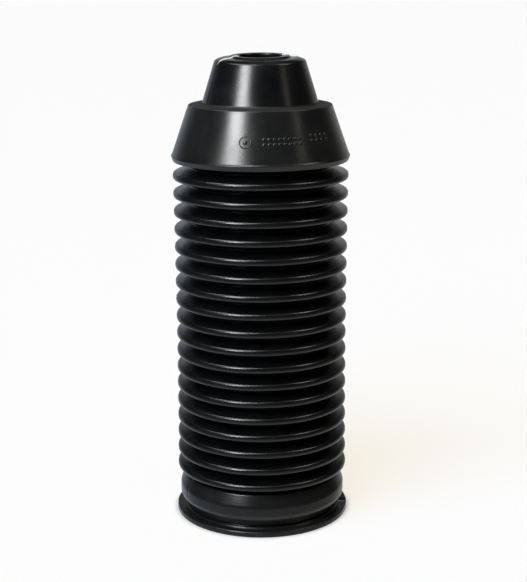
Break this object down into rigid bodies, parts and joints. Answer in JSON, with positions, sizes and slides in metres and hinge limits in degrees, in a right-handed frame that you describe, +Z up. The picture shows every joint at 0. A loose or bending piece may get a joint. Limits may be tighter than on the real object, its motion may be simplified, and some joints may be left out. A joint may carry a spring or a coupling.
{
  "type": "rubber bellows boot",
  "caption": "Moulded rubber bellows boot with a stepped conical cap, a round rod hole, a run of folds and a bellied collar on a thin foot flange.",
  "frame": {"origin": "centre of the foot flange's flat underside, on the boot's axis", "axes": "+Z up along the boot's axis, from the foot flange to the cap with the rod hole"},
  "size_m": [0.0772, 0.0772, 0.2036],
  "materials": {
    "rubber": "satin black moulded rubber"
  },
  "bodies": {
    "root": {"bellows_boot": "rubber"}
  },
  "joints": []
}
